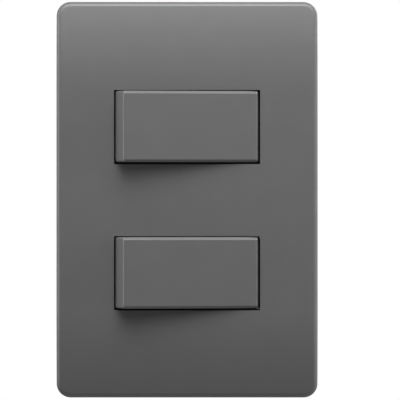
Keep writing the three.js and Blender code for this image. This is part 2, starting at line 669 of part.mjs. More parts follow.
const wallSwitch = new THREE.Group();
wallSwitch.name = "double_rocker_wall_switch";
wallSwitch.add(
  piece("cover_plate", coverPlate(), GRAPHITE),
  piece("support_frame", supportFrame(), DARK_PLASTIC),
);
for (const [name, end] of [["upper", 1], ["lower", -1]]) {
  const screw = piece(`${name}_mounting_screw`, mountingScrew(), ZINC_STEEL);
  screw.position.z = (end * SCREW_SPACING) / 2;
  const module = switchModule(name);
  module.position.set(0, PIVOT_Y, end * MODULE_PITCH);
  wallSwitch.add(screw, module);
}

export default wallSwitch;
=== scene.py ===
import json
import math

import bmesh
import bpy
from mathutils import Matrix, Vector


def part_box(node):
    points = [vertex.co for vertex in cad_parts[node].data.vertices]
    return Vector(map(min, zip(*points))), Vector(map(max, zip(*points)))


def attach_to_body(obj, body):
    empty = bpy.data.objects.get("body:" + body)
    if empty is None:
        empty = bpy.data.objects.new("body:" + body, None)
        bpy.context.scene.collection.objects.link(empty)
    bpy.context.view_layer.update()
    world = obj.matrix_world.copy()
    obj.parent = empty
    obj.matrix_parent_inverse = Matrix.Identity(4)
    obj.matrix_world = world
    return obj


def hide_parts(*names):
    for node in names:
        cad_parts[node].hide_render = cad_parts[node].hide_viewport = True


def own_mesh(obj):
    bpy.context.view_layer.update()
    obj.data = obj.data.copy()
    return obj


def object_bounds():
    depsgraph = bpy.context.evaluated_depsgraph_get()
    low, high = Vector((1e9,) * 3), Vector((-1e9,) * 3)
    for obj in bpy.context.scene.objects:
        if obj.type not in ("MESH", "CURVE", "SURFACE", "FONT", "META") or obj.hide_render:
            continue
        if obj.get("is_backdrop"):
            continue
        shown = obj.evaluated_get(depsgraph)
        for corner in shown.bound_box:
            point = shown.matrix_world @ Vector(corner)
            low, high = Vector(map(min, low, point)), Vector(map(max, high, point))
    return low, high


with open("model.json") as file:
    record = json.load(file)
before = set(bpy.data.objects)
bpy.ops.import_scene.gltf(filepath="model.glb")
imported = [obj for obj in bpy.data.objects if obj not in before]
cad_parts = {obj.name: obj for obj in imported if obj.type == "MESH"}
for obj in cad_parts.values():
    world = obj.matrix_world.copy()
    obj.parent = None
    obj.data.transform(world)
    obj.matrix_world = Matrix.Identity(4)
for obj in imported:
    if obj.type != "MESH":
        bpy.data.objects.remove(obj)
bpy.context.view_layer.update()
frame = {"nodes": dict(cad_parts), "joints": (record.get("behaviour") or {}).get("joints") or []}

MM = 0.001  # lengths below are in millimetres unless a name ends in _m
MODULES = ("upper", "lower")
JOINTS = {joint["name"]: joint for joint in frame["joints"]}
PIVOT = {m: Vector(JOINTS[f"{m}_rocker_hinge"]["pos_m"]) / MM for m in MODULES}
CONTACT_PIVOT = {m: Vector(JOINTS[f"{m}_contact_hinge"]["pos_m"]) / MM for m in MODULES}


def node_box(node):
    low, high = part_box(node)
    return low / MM, high / MM


PLATE_LOW, PLATE_HIGH = node_box("cover_plate")
FACE = PLATE_LOW.y

# ---------------------------------------------------------------- camera

CAMERA_DISTANCE = 1091  # in front of the plate's face
VIEW_WIDTH = 119.3  # how much of the face's plane the picture takes in

camera_data = bpy.data.cameras.new("camera")
camera_data.sensor_width = 36
camera_data.lens = 36 * CAMERA_DISTANCE / VIEW_WIDTH
camera_data.shift_x = 0.0323
camera_data.shift_y = -0.0008
camera_data.clip_start = 0.01
camera = bpy.data.objects.new("camera", camera_data)
camera.location = (0, (FACE - CAMERA_DISTANCE) * MM, 0)
camera.rotation_euler = (math.pi / 2, 0, 0)
bpy.context.scene.collection.objects.link(camera)
bpy.context.scene.camera = camera
bpy.context.scene.view_settings.view_transform = "Standard"


# ---------------------------------------------------------------- materials

class Nodes:
    """A node material under construction."""

    def __init__(self, name):
        self.material = bpy.data.materials.new(name)
        self.material.use_nodes = True
        self.tree = self.material.node_tree
        self.shader = self.tree.nodes["Principled BSDF"]
        self.place = self.tree.nodes.new("ShaderNodeTexCoord").outputs["Object"]

    def link(self, source, target):
        self.tree.links.new(source, target)

    def noise(self, size, detail=3.0, roughness=0.55, stretch=(1, 1, 1)):
        """Noise whose features are about `size` millimetres across."""
        mapping = self.tree.nodes.new("ShaderNodeMapping")
        mapping.inputs["Scale"].default_value = tuple(s / (size * MM) for s in stretch)
        self.link(self.place, mapping.inputs["Vector"])
        noise = self.tree.nodes.new("ShaderNodeTexNoise")
        noise.inputs["Scale"].default_value = 1.0
        noise.inputs["Detail"].default_value = detail
        noise.inputs["Roughness"].default_value = roughness
        self.link(mapping.outputs["Vector"], noise.inputs["Vector"])
        return noise.outputs["Fac"]

    def remap(self, source, low, high):
        """The noise's middle range, 0.3 to 0.7, spread from low to high."""
        remap = self.tree.nodes.new("ShaderNodeMapRange")
        remap.inputs["From Min"].default_value = 0.3
        remap.inputs["From Max"].default_value = 0.7
        remap.inputs["To Min"].default_value = low
        remap.inputs["To Max"].default_value = high
        self.link(source, remap.inputs["Value"])
        return remap.outputs["Result"]

    def between(self, factor, color, spread):
        """The colour, from a little darker to a little lighter."""
        mix = self.tree.nodes.new("ShaderNodeMix")
        mix.data_type = "RGBA"
        self.link(factor, mix.inputs["Factor"])
        mix.inputs["A"].default_value = (*(c * (1 - spread) for c in color), 1)
        mix.inputs["B"].default_value = (*(min(1, c * (1 + spread)) for c in color), 1)
        return mix.outputs["Result"]

    def bump(self, height, depth, normal=None):
        """A bump whose relief is about `depth` millimetres."""
        bump = self.tree.nodes.new("ShaderNodeBump")
        bump.inputs["Distance"].default_value = depth * MM
        self.link(height, bump.inputs["Height"])
        if normal:
            self.link(normal, bump.inputs["Normal"])
        return bump.outputs["Normal"]


PLASTIC_CLOUD, PLASTIC_GRAIN, PLASTIC_RIPPLE = 7.0, 0.16, 24  # sizes of features
PLASTIC_SPREAD, RIPPLE_DEPTH = 0.025, 0.02
METAL_CLOUD, METAL_GRAIN, METAL_SPREAD, METAL_DEPTH = 1.6, 0.3, 0.05, 0.0008
DRAWN, EVEN = (1, 1, 6), (1, 1, 1)  # how a metal's grain is stretched


def plastic(name, color, roughness, depth=0.004):
    """Moulded plastic: an eroded grain over a faint long ripple, with a slightly cloudy colour."""
    n = Nodes(name)
    cloud = n.remap(n.noise(PLASTIC_CLOUD, detail=2.0), 0, 1)
    n.link(n.between(cloud, color, PLASTIC_SPREAD), n.shader.inputs["Base Color"])
    texture = n.noise(PLASTIC_GRAIN, detail=4.0, roughness=0.6)
    n.link(n.remap(texture, roughness - 0.03, roughness + 0.03), n.shader.inputs["Roughness"])
    ripple = n.bump(n.noise(PLASTIC_RIPPLE, detail=1.0), RIPPLE_DEPTH)
    n.link(n.bump(texture, depth, ripple), n.shader.inputs["Normal"])
    return n.material


def metal(name, color, roughness, stretch=DRAWN):
    """Metal with a drawn or rolled surface and small changes of tone."""
    n = Nodes(name)
    n.shader.inputs["Metallic"].default_value = 1.0
    cloud = n.remap(n.noise(METAL_CLOUD), 0, 1)
    n.link(n.between(cloud, color, METAL_SPREAD), n.shader.inputs["Base Color"])
    streaks = n.noise(METAL_GRAIN, stretch=stretch)
    n.link(n.remap(streaks, roughness - 0.02, roughness + 0.03), n.shader.inputs["Roughness"])
    n.link(n.bump(streaks, METAL_DEPTH), n.shader.inputs["Normal"])
    return n.material


GRAPHITE = plastic("graphite_plastic", (0.08, 0.08, 0.08), 0.42)
DARK = plastic("dark_plastic", (0.022, 0.022, 0.023), 0.5, depth=0.008)
PALE = plastic("pale_plastic", (0.27, 0.27, 0.26), 0.45, depth=0.008)
CLEAR_WHITE = plastic("plunger_plastic", (0.62, 0.61, 0.57), 0.3, depth=0.002)
BRASS = metal("brass", (0.58, 0.38, 0.12), 0.3)
SILVER = metal("silver", (0.72, 0.71, 0.68), 0.26, EVEN)
ZINC = metal("zinc_steel", (0.5, 0.51, 0.53), 0.34)
SPRING = metal("spring_steel", (0.3, 0.31, 0.32), 0.28, EVEN)


# ---------------------------------------------------------------- meshes

def union(mesh, others):
    """One solid from meshes that overlap each other, and whose first may overlap itself."""
    solids = [bpy.data.objects.new("solid", data) for data in (mesh, *others)]
    for solid in solids:
        bpy.context.scene.collection.objects.link(solid)
    for solid in solids[1:]:
        join = solids[0].modifiers.new("join", "BOOLEAN")
        join.operation = "UNION"
        join.solver = "EXACT"
        join.use_self = solid == solids[1]  # clears the first solid's own overlaps, once
        join.object = solid
    joined = bpy.data.meshes.new_from_object(solids[0].evaluated_get(bpy.context.evaluated_depsgraph_get()))
    for solid, data in zip(solids, (mesh, *others)):
        bpy.data.objects.remove(solid)
        bpy.data.meshes.remove(data)
    return joined


class Sheet:
    """Collects faces by the coordinates of their corners and joins equal corners."""

    def __init__(self):
        self.index = {}
        self.points = []
        self.faces = []

    def corner(self, point):
        key = tuple(round(c, 4) for c in point)
        if key not in self.index:
            self.index[key] = len(self.points)
            self.points.append(Vector(point))
        return self.index[key]

    def face(self, *points):
        ring = list(dict.fromkeys(self.corner(point) for point in points))
        if len(ring) > 2:
            self.faces.append(ring)

    def strip(self, first, second, skip=()):
        """Faces between two closed loops of equally many points."""
        count = len(first)
        for i in range(count):
            if i not in skip:
                j = (i + 1) % count
                self.face(first[i], first[j], second[j], second[i])

    def loft(self, loops, start=True, end=True):
        """A skin over a row of loops, closed at its start and end by a flat face."""
        for first, second in zip(loops, loops[1:]):
            self.strip(first, second)
        if start:
            self.face(*loops[0])
        if end:
            self.face(*loops[-1])

    def turn(self, profile, axis="y", steps=32):
        """A turned body: the profile holds radius and place along the axis."""
        place = {"y": lambda c, s, a: (c, a, s), "z": lambda c, s, a: (c, s, a)}[axis]
        angles = [2 * math.pi * i / steps for i in range(steps)]
        self.loft([[place(r * math.cos(t), r * math.sin(t), a) for t in angles] for r, a in profile])

    def block(self, x, y, z, soft=0.12):
        """A box with chamfered edges, from the low and high ends along each axis."""
        ends = (x, y, z)

        def corner(signs, axis):
            """The corner's point on the face across `axis`."""
            return [ends[k][s > 0] - (0 if k == axis else s * soft) for k, s in enumerate(signs)]

        signs = (-1, 1)
        for axis in range(3):
            b, c = (axis + 1) % 3, (axis + 2) % 3
            for s in signs:
                ring = []
                for u, v in ((-1, -1), (1, -1), (1, 1), (-1, 1)):
                    way = [0, 0, 0]
                    way[axis], way[b], way[c] = s, u, v
                    ring.append(corner(way, axis))
                self.face(*ring)
                for t in signs:
                    way = [[0, 0, 0], [0, 0, 0]]
                    for end, r in zip(way, signs):
                        end[axis], end[b], end[c] = s, t, r
                    near, far = way
                    self.face(corner(near, axis), corner(far, axis), corner(far, b), corner(near, b))
        for way in ((a, b, c) for a in signs for b in signs for c in signs):
            self.face(*(corner(way, axis) for axis in range(3)))

    def prism(self, outline, z):
        """An outline in X and Y, run along Z."""
        self.loft([[(u, v, end) for u, v in outline] for end in z])

    def mesh(self, name, origin, turn):
        mesh = bpy.data.meshes.new(name)
        mesh.from_pydata([(turn @ p + Vector(origin)) * MM for p in self.points], [], self.faces)
        work = bmesh.new()
        work.from_mesh(mesh)
        bmesh.ops.recalc_face_normals(work, faces=work.faces)
        work.to_mesh(mesh)
        work.free()
        return mesh

    def build(self, name, material, origin=(0, 0, 0), turn=Matrix.Identity(3), sharp=35, weighted=True,
              fittings=()):
        """The piece as an object, in one solid with its fittings, which are sheets too."""
        mesh = self.mesh(name, origin, turn)
        if fittings:
            mesh = union(mesh, [fitting.mesh(name, origin, turn) for fitting in fittings])
            mesh.name = name
        for polygon in mesh.polygons:
            polygon.use_smooth = True
        mesh.set_sharp_from_angle(angle=math.radians(sharp))
        mesh.materials.append(material)
        piece = bpy.data.objects.new(name, mesh)
        bpy.context.scene.collection.objects.link(piece)
        if weighted:
            normals = piece.modifiers.new("normals", "WEIGHTED_NORMAL")
            normals.keep_sharp = True
        return piece


def attach(piece, body, slot, *nodes):
    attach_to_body(piece, body)
    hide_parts(*nodes)


def arc(start, end, count):
    """Angles in radians between two angles in degrees."""
    return [math.radians(start + (end - start) * i / count) for i in range(count + 1)]


def between(start, end, count):
    """Evenly spaced values, both ends included."""
    return [start + (end - start) * i / count for i in range(count + 1)]


# ---------------------------------------------------------------- wall plate

PLATE_HALF_X, PLATE_HALF_Z = PLATE_HIGH.x, PLATE_HIGH.z
CORNER = 4.2  # radius of the outline's corners
EDGE = 1.5  # radius of the front edge
WALL = 2.0
FLAT_HALF = 33.4  # half the height of the face's level middle
CROWN_RADIUS = (PLATE_HALF_Z - FLAT_HALF) / math.sin(math.radians(10))
SAG = 0.15  # the windows lie this much below the rockers
WINDOW_HALF_X, WINDOW_HALF_Z = 21.78, 11.05
WINDOW_EDGE = 0.05
LIP = 1.0  # depth of the window's narrow front part
ROOM_HALF_X = 22.47  # half the width behind it
COLLAR = 1.2  # thickness of the wall round the window, behind the face
COLLAR_END = -3.5
RIM_EDGE = 0.15
NOTCH_HALF, NOTCH_DEPTH = 5.0, 1.2
SINK = 0.3  # how far a fitting reaches into the wall that carries it
RIB_X, RIB_WIDTH, RIB_HEIGHT, RIB_HALF_LENGTH = 28, 1.2, 1.5, 50
RIB_SINK, RIB_SOFT = 0.4, 0.2
CATCH_Z, CATCH_HALF, CATCH_REACH, CATCH_DEPTH, CATCH_SOFT = 38, 4.0, 0.9, (-3.2, -1.6), 0.25
CORNER_STEPS = 12

CORNER_X, CORNER_Z = PLATE_HALF_X - CORNER, PLATE_HALF_Z - CORNER
HOLE_X, HOLE_Z = WINDOW_HALF_X + WINDOW_EDGE, WINDOW_HALF_Z + WINDOW_EDGE
WINDOW_Z = [PIVOT[m].z - SAG for m in MODULES]


def crown(z):
    """Y of the plate's face: level in the middle, curving back above and below."""
    over = max(0.0, abs(z) - FLAT_HALF)
    return FACE + CROWN_RADIUS - math.sqrt(CROWN_RADIUS ** 2 - over ** 2)


def underside(z):
    return crown(z) + WALL


def grid_lines(low, high, step, fixed):
    """Grid lines from low to high, about `step` apart, through every fixed value."""
    stops = sorted({round(v, 5) for v in [low, high, *fixed] if low <= v <= high})
    found = []
    for a, b in zip(stops, stops[1:]):
        found += between(a, b, max(1, round((b - a) / step)))[:-1]
    return found + [stops[-1]]


PLATE_XS = grid_lines(-CORNER_X, CORNER_X, 3.0, [-HOLE_X, HOLE_X, -NOTCH_HALF, NOTCH_HALF])
PLATE_ZS = grid_lines(-CORNER_Z, CORNER_Z, 1.1,
                      [-FLAT_HALF, FLAT_HALF, *(z + s * HOLE_Z for z in WINDOW_Z for s in (-1, 1))])


def plate_loop(inset, height):
    """Points round the plate, inset from its outline, from the right-hand side's lower end. `height` gives Y
    for each Z."""
    half_x, half_z, radius = PLATE_HALF_X - inset, PLATE_HALF_Z - inset, CORNER - inset
    bend = [(radius * math.cos(a), radius * math.sin(a)) for a in arc(0, 90, CORNER_STEPS)[1:-1]]
    loop = [(half_x, z) for z in PLATE_ZS]
    loop += [(CORNER_X + c, CORNER_Z + s) for c, s in bend]
    loop += [(x, half_z) for x in reversed(PLATE_XS)]
    loop += [(-CORNER_X - s, CORNER_Z + c) for c, s in bend]
    loop += [(-half_x, z) for z in reversed(PLATE_ZS)]
    loop += [(-CORNER_X - c, -CORNER_Z - s) for c, s in bend]
    loop += [(x, -half_z) for x in PLATE_XS]
    loop += [(CORNER_X + s, -CORNER_Z - c) for c, s in bend]
    return [(x, height(z), z) for x, z in loop]


def plate_surface(sheet, inset, height):
    """A face of the plate inside the loop at that inset, with a hole for each window."""
    def point(x, z):
        return (x, height(z), z)

    def patch(x0, x1, z0, z1):
        sheet.face(point(x0, z0), point(x1, z0), point(x1, z1), point(x0, z1))

    for x0, x1 in zip(PLATE_XS, PLATE_XS[1:]):
        for z0, z1 in zip(PLATE_ZS, PLATE_ZS[1:]):
            over_window = any(abs((z0 + z1) / 2 - z) < HOLE_Z for z in WINDOW_Z)
            if not (over_window and abs(x0 + x1) / 2 < HOLE_X):
                patch(x0, x1, z0, z1)
    rim_x, rim_z, radius = PLATE_HALF_X - inset, PLATE_HALF_Z - inset, CORNER - inset
    for side in (-1, 1):
        for z0, z1 in zip(PLATE_ZS, PLATE_ZS[1:]):
            patch(side * CORNER_X, side * rim_x, z0, z1)
        for x0, x1 in zip(PLATE_XS, PLATE_XS[1:]):
            patch(x0, x1, side * CORNER_Z, side * rim_z)
        for up in (-1, 1):
            bend = [point(side * (CORNER_X + radius * math.cos(a)), up * (CORNER_Z + radius * math.sin(a)))
                    for a in arc(0, 90, CORNER_STEPS)]
            for a, b in zip(bend, bend[1:]):
                sheet.face(point(side * CORNER_X, up * CORNER_Z), a, b)


def window_loop(z, half_x, half_z, y):
    """A window's edge on the face's grid lines, moved to the given half sizes at height y."""
    xs = [x for x in PLATE_XS if abs(x) <= HOLE_X + 1e-6]
    zs = [v - z for v in PLATE_ZS if abs(v - z) <= HOLE_Z + 1e-6]
    loop = [(HOLE_X, v) for v in zs[:-1]] + [(u, HOLE_Z) for u in reversed(xs[1:])]
    loop += [(-HOLE_X, v) for v in reversed(zs[1:])] + [(u, -HOLE_Z) for u in xs[:-1]]

    def move(u, edge, half):
        return math.copysign(half, u) if abs(abs(u) - edge) < 1e-6 else u

    return [(move(u, HOLE_X, half_x), y, z + move(v, HOLE_Z, half_z)) for u, v in loop]


def plate_shell(sheet):
    """Rounded front edge, side walls, rear rim and inside walls, with a notch for a screwdriver below."""
    loops = [plate_loop(EDGE * (1 - math.sin(a)), lambda z, a=a: crown(z) + EDGE * (1 - math.cos(a)))
             for a in arc(0, 90, 9)]
    first = len(loops)
    for inset, y in ((0, -NOTCH_DEPTH), (0, -RIM_EDGE), (RIM_EDGE, 0),
                     (WALL - RIM_EDGE, 0), (WALL, -RIM_EDGE), (WALL, -NOTCH_DEPTH)):
        loops.append(plate_loop(inset, lambda z, y=y: y))
    last = len(loops) - 1
    loops.append(plate_loop(WALL, underside))
    notch = [i for i, (x, y, z) in enumerate(loops[first])
             if z < 1e-4 - PLATE_HALF_Z and -NOTCH_HALF - 1e-4 < x < NOTCH_HALF - 1e-4]
    for k, (a, b) in enumerate(zip(loops, loops[1:])):
        sheet.strip(a, b, skip=notch if first <= k < last else ())
    for i in notch:
        sheet.face(loops[first][i], loops[first][i + 1], loops[last][i + 1], loops[last][i])
    for i in (notch[0], notch[-1] + 1):
        sheet.face(*(loops[k][i] for k in range(first, last + 1)))


def plate_fittings():
    """Stiffening ribs under the face, and the catches inside the side walls."""
    fittings = []
    for side in (-1, 1):
        rib = Sheet()
        fittings.append(rib)
        low, high = sorted((side * (RIB_X - RIB_WIDTH / 2), side * (RIB_X + RIB_WIDTH / 2)))
        crest = FACE + WALL + RIB_HEIGHT
        shoulder = crest - RIB_SOFT
        rib.loft([[(low, underside(z) - RIB_SINK, z), (low, shoulder, z), (low + RIB_SOFT, crest, z),
                   (high - RIB_SOFT, crest, z), (high, shoulder, z), (high, underside(z) - RIB_SINK, z)]
                  for z in between(-RIB_HALF_LENGTH, RIB_HALF_LENGTH, 50)])
        wall = PLATE_HALF_X - WALL
        for up in (-1, 1):
            catch = Sheet()
            fittings.append(catch)
            catch.block(sorted((side * (wall - CATCH_REACH), side * (wall + SINK))), CATCH_DEPTH,
                        (up * CATCH_Z - CATCH_HALF, up * CATCH_Z + CATCH_HALF), CATCH_SOFT)
    return fittings


def cover_plate():
    sheet = Sheet()
    plate_shell(sheet)
    plate_surface(sheet, EDGE, crown)
    plate_surface(sheet, WALL, underside)
    for z in WINDOW_Z:
        loops = [window_loop(z, HOLE_X - WINDOW_EDGE * math.sin(a), HOLE_Z - WINDOW_EDGE * math.sin(a),
                             FACE + WINDOW_EDGE * (1 - math.cos(a))) for a in arc(0, 90, 3)]
        loops.append(window_loop(z, WINDOW_HALF_X, WINDOW_HALF_Z, FACE + LIP))
        loops.append(window_loop(z, ROOM_HALF_X, WINDOW_HALF_Z, FACE + LIP))
        loops.append(window_loop(z, ROOM_HALF_X, WINDOW_HALF_Z, COLLAR_END))
        loops.append(window_loop(z, ROOM_HALF_X + COLLAR, WINDOW_HALF_Z + COLLAR, COLLAR_END))
        loops.append(window_loop(z, ROOM_HALF_X + COLLAR, WINDOW_HALF_Z + COLLAR, FACE + WALL - SINK))
        loops.append(window_loop(z, HOLE_X, HOLE_Z, FACE + WALL))
        sheet.loft(loops, start=False, end=False)
    piece = sheet.build("wall_plate", GRAPHITE, fittings=plate_fittings())
    attach(piece, "switch_body", "graphite_plastic", "cover_plate")


# ---------------------------------------------------------------- rockers

TILT = Matrix.Rotation(math.radians(7), 3, "Z")
ROCKER_FRONT = 8.83  # from the pivot axis to the face
ROCKER_HALF_X = 20.06  # at the face
ROCKER_RADIUS = 22.05  # of the two ends, round the pivot axis
END_DRAFT = math.radians(19.5)  # of their upper part, which is flat
ROCKER_HALF_Z = 10.6
ROCKER_WALL, FACE_WALL = 1.3, 1.6
SKIRT_END = 2.4
CHAMFER, CHAMFER_SOFT = 0.75, 0.15
END_FILLET = 0.9
SIDE_CORNER, FACE_CORNER = 0.6, 0.12
WEB_DEPTH, WEB_TOP_HALF, EYE_RADIUS = (5.5, 7.0), 6.0, 2.4
PIN_RADIUS, PIN_END = 1.5, 8.9
BARREL_RADIUS, BORE_RADIUS, BARREL_END, BORE_TOP = 3.4, 2.1, 3.0, -7.2
BARREL_SOFT, PIN_SOFT = 0.2, 0.3
BRACE_HALF = 0.6  # half the thickness of the ribs and arms
RIB_END, ARM_END, ARM_HEIGHT = -3, 19, 1.4
SKIN_CORNER = 0.4  # of the walls' inner side
UNDERSIDE = FACE_WALL - ROCKER_FRONT
ROOT = UNDERSIDE - SINK


def rocker_reach(depth, inset=0):
    """Half the rocker's length at a depth: drafted near the face and round the pivot axis below."""
    drafted = ROCKER_HALF_X - inset + (ROCKER_FRONT - depth) * math.tan(END_DRAFT)
    return min(drafted, math.sqrt((ROCKER_RADIUS - inset) ** 2 - depth ** 2))


def rocker_edge():
    """(half length, its depth, half height, its depth) along the front edge: a fillet at the two ends and a
    softened chamfer on the two long sides. Depth runs forwards from the pivot axis."""
    centre_x = ROCKER_HALF_X - END_FILLET * math.tan((math.pi / 2 - END_DRAFT) / 2)
    ends = [(centre_x + END_FILLET * math.cos(a), ROCKER_FRONT - END_FILLET * (1 - math.sin(a)))
            for a in arc(math.degrees(END_DRAFT), 90, 9)]
    reach = CHAMFER_SOFT * math.tan(math.pi / 8)
    sides = []
    for first, centre in ((0, (ROCKER_HALF_Z - CHAMFER_SOFT, ROCKER_FRONT - CHAMFER - reach)),
                          (45, (ROCKER_HALF_Z - CHAMFER - reach, ROCKER_FRONT - CHAMFER_SOFT))):
        sides += [(centre[0] + CHAMFER_SOFT * math.cos(a), centre[1] + CHAMFER_SOFT * math.sin(a))
                  for a in arc(first, first + 45, 4)]
    return [(*end, *side) for end, side in zip(ends, sides)]


def rocker_loop(half_x, depth_x, half_z, depth_z, radius):
    """A loop round the rocker, whose ends lie at depth_x and whose long sides lie at depth_z."""
    quadrant = [(half_x, v, depth_x) for v in between(0, half_z - radius, 4)[:-1]]
    for a in arc(0, 90, 6):
        share = math.sin(a) ** 2
        depth = depth_x * (1 - share) + depth_z * share
        quadrant.append((half_x - radius * (1 - math.cos(a)), half_z - radius * (1 - math.sin(a)), depth))
    quadrant += [(u, half_z, depth_z) for u in between(half_x - radius, 0, 8)[1:-1]]
    loop = quadrant + [(0, half_z, depth_z)]
    loop += [(-u, v, d) for u, v, d in reversed(quadrant)]
    return [(u, -d, v) for u, v, d in loop + [(-u, -v, d) for u, v, d in loop[1:-1]]]


def rocker_shell(sheet):
    edge = rocker_edge()
    loops = []
    for i, share in enumerate(between(0, 1, 10)[:-1]):
        depth_x = SKIRT_END + (edge[0][1] - SKIRT_END) * share
        depth_z = SKIRT_END + (edge[0][3] - SKIRT_END) * share
        loops.append(rocker_loop(rocker_reach(depth_x), depth_x, ROCKER_HALF_Z, depth_z, SIDE_CORNER))
    for i, step in enumerate(edge):
        radius = SIDE_CORNER + (FACE_CORNER - SIDE_CORNER) * i / (len(edge) - 1)
        loops.append(rocker_loop(*step, radius))
    inner = []
    for depth in between(SKIRT_END, -UNDERSIDE, 6):
        half_x = rocker_reach(depth, ROCKER_WALL)
        inner.append(rocker_loop(half_x, depth, ROCKER_HALF_Z - ROCKER_WALL, depth, SKIN_CORNER))
    sheet.loft(list(reversed(inner)) + loops)


def rocker_fittings():
    """Barrel for the plunger, ribs, arms, and the two webs with the pivot pins."""
    barrel = Sheet()
    barrel.turn([(BORE_RADIUS, BORE_TOP), (BORE_RADIUS, BARREL_END - 0.3), (BORE_RADIUS + 0.3, BARREL_END),
                 (BARREL_RADIUS - BARREL_SOFT, BARREL_END), (BARREL_RADIUS, BARREL_END - BARREL_SOFT),
                 (BARREL_RADIUS, ROOT), (0, ROOT), (0, BORE_TOP)])
    fittings = [barrel]
    inside, outside = BARREL_RADIUS - SINK, WEB_DEPTH[0] + 0.2
    thickness = (-BRACE_HALF, BRACE_HALF)
    for side in (-1, 1):
        rib, arm, web, pin = Sheet(), Sheet(), Sheet(), Sheet()
        rib.block(thickness, (ROOT, RIB_END), sorted((side * inside, side * outside)))
        arm.block(sorted((side * inside, side * ARM_END)), (ROOT, UNDERSIDE + ARM_HEIGHT), thickness)
        eye = [(EYE_RADIUS * math.cos(a), EYE_RADIUS * math.sin(a)) for a in arc(0, 180, 16)]
        web.prism([(-WEB_TOP_HALF, ROOT), (WEB_TOP_HALF, ROOT)] + eye, sorted(side * z for z in WEB_DEPTH))
        pin.turn([(0, side * outside), (PIN_RADIUS, side * outside),
                  (PIN_RADIUS, side * (PIN_END - PIN_SOFT)), (PIN_RADIUS - PIN_SOFT, side * PIN_END),
                  (0, side * PIN_END)], axis="z")
        fittings += [rib, arm, web, pin]
    return fittings


def rocker(module):
    sheet = Sheet()
    rocker_shell(sheet)
    cap = sheet.build(f"{module}_rocker_cap", GRAPHITE, PIVOT[module], TILT, fittings=rocker_fittings())
    attach(cap, f"{module}_rocker_body", "graphite_plastic", f"{module}_rocker")


# ---------------------------------------------------------------- plunger, spring and contacts

PLUNGER_PROFILE = [(0, -2.5), (0.85, -2.5), (1.0, -2.35), (1.0, -1.0), (1.75, -1.0), (1.9, -0.85), (1.9, 6.2),
                   (1.3, 8.0)]
PLUNGER_TIP = 1.3
SPRING_RADIUS, SPRING_WIRE, SPRING_TURNS = 1.55, 0.22, 6
SPRING_ENDS = (-6.93, -1.27)
RIVET_HEAD, RIVET_HEIGHT, RIVET_DOME = 1.6, 0.8, 0.2
RIVET_TAIL, RIVET_SHANK, RIVET_TAIL_HEIGHT = 1.15, 0.8, 0.3
RIVET_GAP = 0.05  # between a head and its strip
MOVING_CONTACT_X = 7.6  # from the contact bar's pivot
CONTACT_TILT = Matrix.Rotation(math.radians(-9), 3, "Z")


def plunger(module):
    sheet = Sheet()
    tip = PLUNGER_PROFILE[-1][1]
    dome = [(PLUNGER_TIP * math.cos(a), tip + PLUNGER_TIP * math.sin(a)) for a in arc(0, 90, 8)[1:]]
    sheet.turn(PLUNGER_PROFILE + dome, steps=40)
    piece = sheet.build(f"{module}_plunger_pin", CLEAR_WHITE, PIVOT[module], TILT)
    attach(piece, f"{module}_plunger_body", "plunger_plastic", f"{module}_plunger")


def spring(module):
    """A compression spring with a closed turn at each end."""
    sheet = Sheet()
    steps, ring_steps = 28, 10
    low, high = SPRING_ENDS
    closed = 2 * SPRING_WIRE
    turns = SPRING_TURNS + 2
    pitch = (high - low - 2 * closed) / SPRING_TURNS

    def height(turn):
        if turn < 1:
            return low + closed * turn
        if turn > turns - 1:
            return high - closed * (turns - turn)
        return low + closed + pitch * (turn - 1)

    loops = []
    for i in range(turns * steps + 1):
        turn = i / steps
        angle = 2 * math.pi * turn
        out = Vector((math.cos(angle), 0, math.sin(angle)))
        centre = out * SPRING_RADIUS + Vector((0, height(turn), 0))
        loops.append([centre + out * SPRING_WIRE * math.cos(a) + Vector((0, SPRING_WIRE * math.sin(a), 0))
                      for a in arc(0, 360, ring_steps)[:-1]])
    sheet.loft(loops)
    piece = sheet.build(f"{module}_plunger_coil", SPRING, PIVOT[module], TILT, weighted=False)
    attach(piece, f"{module}_rocker_body", "spring_steel", f"{module}_plunger_spring")
    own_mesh(piece)


def rivet(name, node, front, rear, direction, body, origin, turn=Matrix.Identity(3)):
    """A contact rivet through a strip between two depths, with its domed head towards `direction` along Y."""
    sheet = Sheet()
    ends = (rear + RIVET_GAP, front - RIVET_GAP)
    seat, tail = ends if direction > 0 else reversed(ends)
    end, soft_end = tail - direction * RIVET_TAIL_HEIGHT, tail - direction * 0.1
    rim = seat + direction * RIVET_HEIGHT
    profile = [(0, end), (RIVET_TAIL - 0.2, end), (RIVET_TAIL, soft_end), (RIVET_TAIL, tail),
               (RIVET_SHANK, tail), (RIVET_SHANK, seat), (RIVET_HEAD, seat), (RIVET_HEAD, rim)]
    profile += [(RIVET_HEAD * math.sin(a), rim + direction * RIVET_DOME * math.cos(a))
                for a in arc(90, 0, 8)[1:]]
    sheet.turn(profile, steps=36)
    attach(sheet.build(name, SILVER, origin, turn), body, "silver", node)


# ---------------------------------------------------------------- screws

def cross_radius(angle, half_length, half_width):
    """How far a cross-shaped outline lies from its middle at an angle."""
    c, s = abs(math.cos(angle)), abs(math.sin(angle))

    def bar(along, across):
        return min(half_length / max(along, 1e-9), half_width / max(across, 1e-9))

    return max(bar(c, s), bar(s, c))


SCREW_STEPS = 32
THREAD_DEPTH = 0.3  # as a share of the pitch
NECK = 0.4  # plain length under the head


